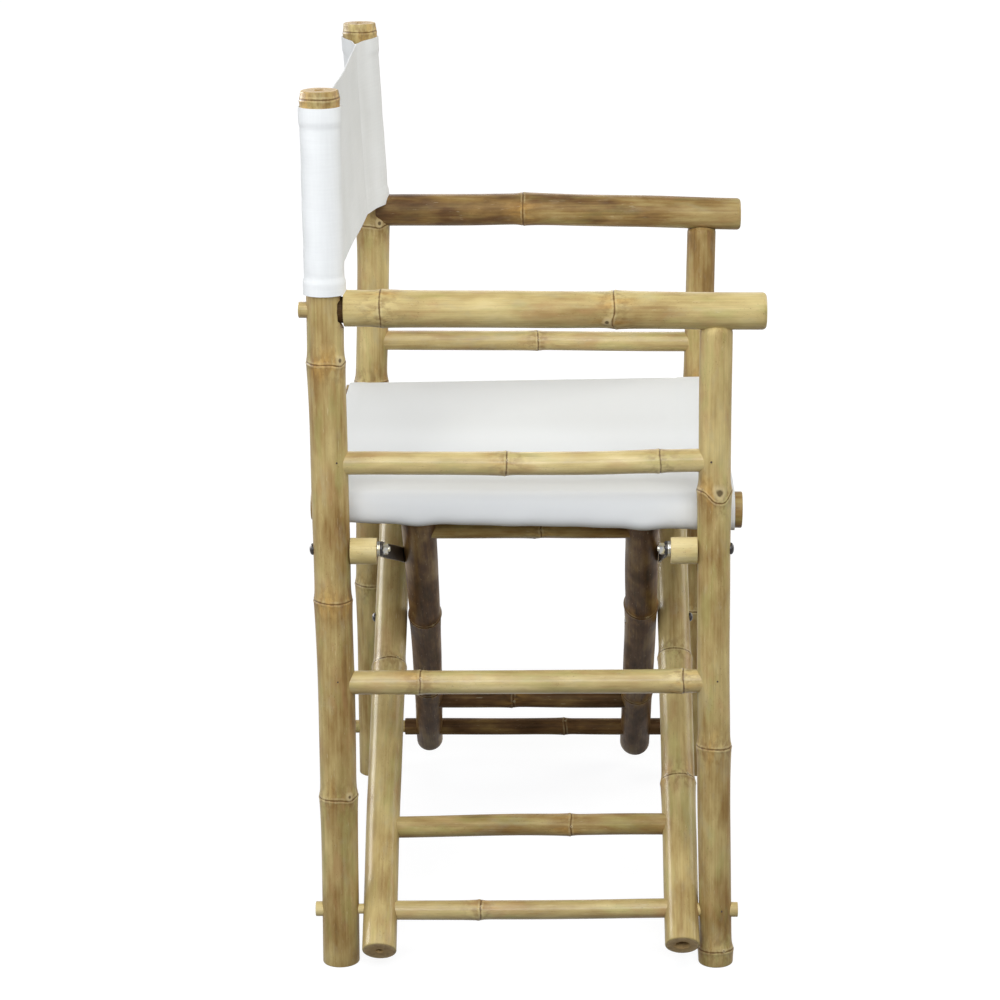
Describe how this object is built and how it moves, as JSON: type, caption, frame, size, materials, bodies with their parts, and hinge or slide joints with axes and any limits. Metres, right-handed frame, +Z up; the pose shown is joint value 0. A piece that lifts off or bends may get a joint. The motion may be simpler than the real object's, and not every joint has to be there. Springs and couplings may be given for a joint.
{
  "type": "folding chair",
  "caption": "Folding director's chair: bamboo side frames with armrests, crossed legs that fold sideways, steel links, canvas seat and canvas back.",
  "frame": {"origin": "on the ground, at the middle of the chair's width and of its depth", "axes": "+Z up, -Y towards the front, +X towards the sitter's left"},
  "size_m": [0.6176, 0.444, 0.875],
  "materials": {
    "bamboo_pole": "clear lacquered bamboo, tan with brown and green cast",
    "bamboo_pale": "pale sanded bamboo",
    "canvas_white": "plain weave cotton canvas, off-white",
    "zinc_steel": "bright zinc plated",
    "black_steel": "black oxide",
    "brad_steel": "darkened wire nail"
  },
  "bodies": {
    "right_side_frame": {"right_back_post": "bamboo_pole", "right_front_post": "bamboo_pole", "right_armrest": "bamboo_pole", "right_armrest_peg": "bamboo_pale", "right_mid_rail": "bamboo_pole", "right_lower_rail": "bamboo_pole", "right_foot_rod": "bamboo_pole", "right_link_bolts": "zinc_steel", "right_link_spacers": "bamboo_pale", "right_link_washers": "zinc_steel", "right_link_nuts": "zinc_steel", "right_brads": "brad_steel", "back_canvas": "canvas_white"},
    "outer_leg_frame": {"outer_back_leg": "bamboo_pole", "outer_front_leg": "bamboo_pole", "outer_rung": "bamboo_pole", "outer_top_rung": "bamboo_pole", "left_seat_rail": "bamboo_pole", "crossing_bolts": "zinc_steel", "crossing_nuts": "zinc_steel", "seat_canvas": "canvas_white"},
    "inner_leg_frame": {"inner_back_leg": "bamboo_pole", "inner_front_leg": "bamboo_pole", "inner_rung": "bamboo_pole", "inner_top_rung": "bamboo_pole", "right_seat_rail": "bamboo_pole"},
    "left_side_frame": {"left_back_post": "bamboo_pole", "left_front_post": "bamboo_pole", "left_armrest": "bamboo_pole", "left_armrest_peg": "bamboo_pale", "left_mid_rail": "bamboo_pole", "left_lower_rail": "bamboo_pole", "left_foot_rod": "bamboo_pole", "left_link_bolts": "zinc_steel", "left_link_spacers": "bamboo_pale", "left_link_washers": "zinc_steel", "left_link_nuts": "zinc_steel", "left_brads": "brad_steel"},
    "right_back_link": {"right_back_link": "black_steel", "right_back_link_screw": "zinc_steel"},
    "right_front_link": {"right_front_link": "black_steel", "right_front_link_screw": "zinc_steel"},
    "left_back_link": {"left_back_link": "black_steel", "left_back_link_screw": "zinc_steel"},
    "left_front_link": {"left_front_link": "black_steel", "left_front_link_screw": "zinc_steel"}
  },
  "joints": [
    {"name": "fold", "type": "hinge", "parent": "right_side_frame", "child": "outer_leg_frame", "pos_m": [-0.268, 0.0105, 0.056], "axis": [0, -1, 0], "range_deg": [0, 42]},
    {"name": "crossing_turn", "type": "hinge", "parent": "outer_leg_frame", "child": "inner_leg_frame", "pos_m": [0, 0.0105, 0.27594], "axis": [0, -1, 0], "range_deg": [-91.32, 0], "deforming": ["seat_canvas", "back_canvas"]},
    {"name": "left_rod_turn", "type": "hinge", "parent": "inner_leg_frame", "child": "left_side_frame", "pos_m": [0.268, 0.0105, 0.056], "axis": [0, -1, 0], "range_deg": [0, 43]},
    {"name": "right_back_link_turn", "type": "hinge", "parent": "right_side_frame", "child": "right_back_link", "pos_m": [-0.268, 0.15038, 0.431], "axis": [0, -1, 0], "range_deg": [0, 91.9]},
    {"name": "right_front_link_turn", "type": "hinge", "parent": "right_side_frame", "child": "right_front_link", "pos_m": [-0.268, -0.12937, 0.431], "axis": [0, -1, 0], "range_deg": [0, 91.9]},
    {"name": "left_back_link_turn", "type": "hinge", "parent": "left_side_frame", "child": "left_back_link", "pos_m": [0.268, 0.15038, 0.431], "axis": [0, -1, 0], "range_deg": [-91.9, 0]},
    {"name": "left_front_link_turn", "type": "hinge", "parent": "left_side_frame", "child": "left_front_link", "pos_m": [0.268, -0.12937, 0.431], "axis": [0, -1, 0], "range_deg": [-91.9, 0]}
  ],
  "couplings": [
    {"joint": "crossing_turn", "follows": "fold", "ratio": -2.1505},
    {"joint": "left_rod_turn", "follows": "fold", "ratio": 1},
    {"joint": "right_back_link_turn", "follows": "fold", "ratio": 2.1643},
    {"joint": "right_front_link_turn", "follows": "fold", "ratio": 2.1643},
    {"joint": "left_back_link_turn", "follows": "fold", "ratio": -2.1643},
    {"joint": "left_front_link_turn", "follows": "fold", "ratio": -2.1643}
  ]
}
